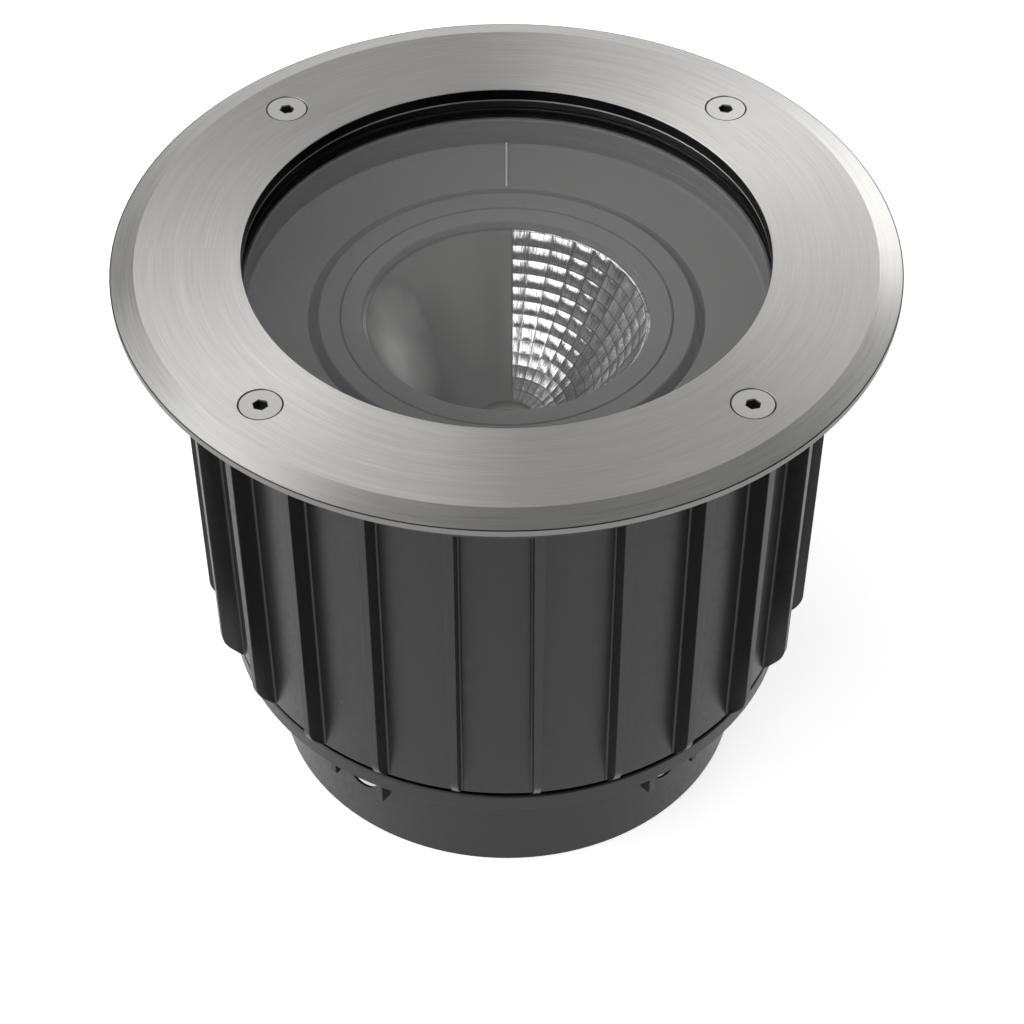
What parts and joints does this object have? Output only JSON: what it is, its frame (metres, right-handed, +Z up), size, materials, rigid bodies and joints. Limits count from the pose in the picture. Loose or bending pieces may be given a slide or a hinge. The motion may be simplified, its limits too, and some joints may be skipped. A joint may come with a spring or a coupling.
{
  "type": "in-ground recessed light",
  "caption": "Round in-ground uplight: brushed steel trim, thick glass, turning half-faceted reflector in a matt baffle, sealed pot and ribbed black installation sleeve.",
  "frame": {"origin": "centre of the sleeve's round foot, on the ground it stands on", "axes": "+Z up along the light's axis, -Y towards the viewer of the picture, +X to the viewer's right, on the side of the faceted half"},
  "size_m": [0.225, 0.225, 0.1845],
  "materials": {
    "sleeve_plastic": "matt black moulded plastic with a fine grain",
    "cast_black": "black powder coat on cast aluminium",
    "trim_steel": "stainless steel, brushed round the ring",
    "screw_steel": "plain stainless steel",
    "seal_rubber": "black silicone rubber",
    "cover_glass": "clear toughened glass",
    "baffle_grey": "matt mid-grey moulding",
    "facet_mirror": "bright vacuum metallised facets",
    "satin_mirror": "satin metallised reflector",
    "bare_aluminium": "bare machined aluminium",
    "white_board": "white solder resist",
    "lamp_face": "yellow phosphor under clear silicone",
    "holder_white": "off-white heat-resistant plastic",
    "gear_white": "off-white plastic case",
    "terminal_white": "off-white plastic",
    "lead_red": "red insulation",
    "lead_blue": "blue insulation",
    "brass": "plain brass",
    "gland_black": "black polyamide"
  },
  "bodies": {
    "sleeve": {"sleeve_body": "sleeve_plastic", "base_ring": "sleeve_plastic", "sleeve_inserts": "brass"},
    "luminaire": {"housing_rim": "cast_black", "housing_wall": "cast_black", "housing_floor": "cast_black", "trim_inserts": "screw_steel", "housing_screws": "screw_steel", "baffle": "baffle_grey", "optic_carrier": "cast_black", "carrier_screws": "screw_steel", "retaining_ring": "cast_black", "heat_sink": "bare_aluminium", "heat_sink_screws": "screw_steel", "led_board": "white_board", "led_chip": "lamp_face", "led_holder": "holder_white", "led_holder_screws": "screw_steel", "led_leads": "lead_red", "control_gear": "gear_white", "control_gear_screws": "screw_steel", "terminal_block": "terminal_white", "mains_leads": "lead_blue", "earth_screw": "brass", "gland_body": "gland_black", "gland_seal": "seal_rubber", "gland_nut": "gland_black", "sealing_washers": "seal_rubber", "blanking_plug": "gland_black", "vent_plug": "gland_black"},
    "cover": {"trim_ring": "trim_steel", "trim_screws": "screw_steel", "top_gasket": "seal_rubber", "glass": "cover_glass", "glass_seal": "seal_rubber"},
    "optic": {"turntable": "baffle_grey", "bezel": "baffle_grey", "faceted_reflector": "facet_mirror", "smooth_reflector": "satin_mirror"}
  },
  "joints": [
    {"name": "luminaire_lift", "type": "slide", "parent": "sleeve", "child": "luminaire", "axis": [0, 0, 1], "range_m": [0, 0.15]},
    {"name": "cover_lift", "type": "slide", "parent": "luminaire", "child": "cover", "axis": [0, 0, 1], "range_m": [0, 0.06]},
    {"name": "optic_turn", "type": "hinge", "parent": "luminaire", "child": "optic", "pos_m": [0, 0, 0.149], "axis": [0, 0, 1], "continuous": true}
  ]
}
